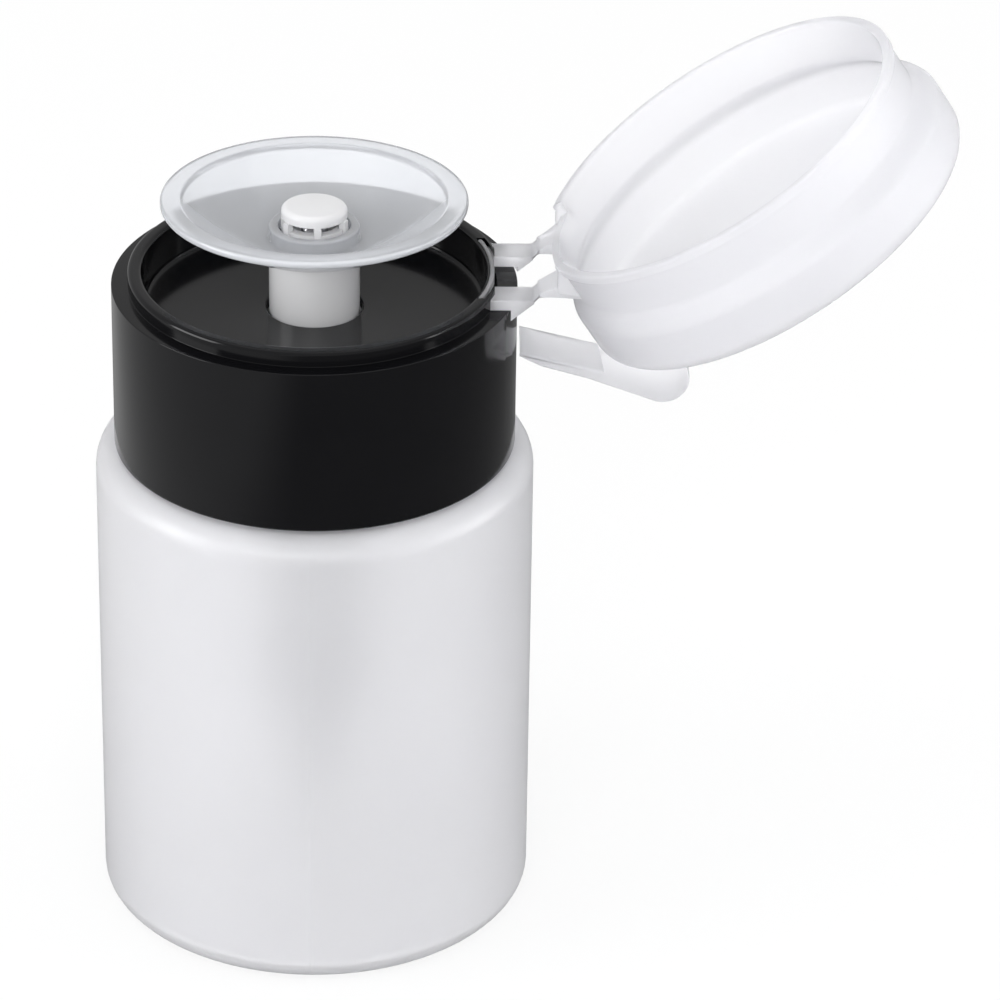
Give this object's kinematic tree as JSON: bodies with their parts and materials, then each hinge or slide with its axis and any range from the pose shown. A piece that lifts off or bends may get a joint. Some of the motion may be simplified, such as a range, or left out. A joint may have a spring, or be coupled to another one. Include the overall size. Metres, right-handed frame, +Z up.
{
  "type": "pump bottle",
  "caption": "Round frosted bottle with a black screw collar, a clear press-down saucer over a pump, and a natural flip lid that stands open on its thumb lever.",
  "frame": {"origin": "centre of the bottle's flat base", "axes": "+Z up along the bottle's axis; +X from the axis towards the lid's hinge; +Y completes the right-handed frame"},
  "size_m": [0.0868, 0.045, 0.0966],
  "materials": {
    "frosted_bottle": "frosted, blow moulded polyethylene",
    "black_collar": "smooth moulded black polypropylene",
    "clear_saucer": "clear moulded styrene",
    "natural_hinge": "milky natural polypropylene",
    "white_pump": "white moulded polyethylene",
    "natural_tube": "extruded natural polyethylene",
    "foam_liner": "foamed polyethylene",
    "steel": "drawn stainless steel"
  },
  "bodies": {
    "bottle": {"bottle": "frosted_bottle"},
    "pump": {"pump_cylinder": "white_pump", "neck_gasket": "foam_liner", "stem_guide": "white_pump", "valve_cage": "white_pump", "dip_tube": "natural_tube", "pump_spring": "steel"},
    "collar": {"collar": "black_collar", "hinge_base": "natural_hinge"},
    "plunger": {"saucer": "clear_saucer", "stem": "white_pump", "piston_seal": "white_pump", "nozzle_cap": "clear_saucer"},
    "lid": {"lid": "natural_hinge"},
    "inlet_ball": {"inlet_ball": "steel"},
    "outlet_ball": {"outlet_ball": "steel"}
  },
  "joints": [
    {"name": "pump_lift", "type": "slide", "parent": "bottle", "child": "pump", "axis": [0, 0, 1], "range_m": [0, 0.0053]},
    {"name": "collar_turn", "type": "hinge", "parent": "pump", "child": "collar", "pos_m": [0, 0, 0.0525], "axis": [0, 0, 1], "range_deg": [0, 450]},
    {"name": "lid_hinge", "type": "hinge", "parent": "collar", "child": "lid", "pos_m": [0.0223, 0, 0.0721], "axis": [0, -1, 0], "range_deg": [0, 147]},
    {"name": "plunger_press", "type": "slide", "parent": "pump", "child": "plunger", "axis": [0, 0, -1], "range_m": [0, 0.006], "stiffness_N_per_m": 900, "springref_m": -0.004, "deforming": ["pump_spring"]},
    {"name": "inlet_ball_lift", "type": "slide", "parent": "pump", "child": "inlet_ball", "axis": [0, 0, 1], "range_m": [0, 0.0008]},
    {"name": "outlet_ball_lift", "type": "slide", "parent": "plunger", "child": "outlet_ball", "axis": [0, 0, 1], "range_m": [0, 0.0008]}
  ],
  "couplings": [
    {"joint": "pump_lift", "follows": "collar_turn", "m_per_rad": 0.0006737}
  ]
}
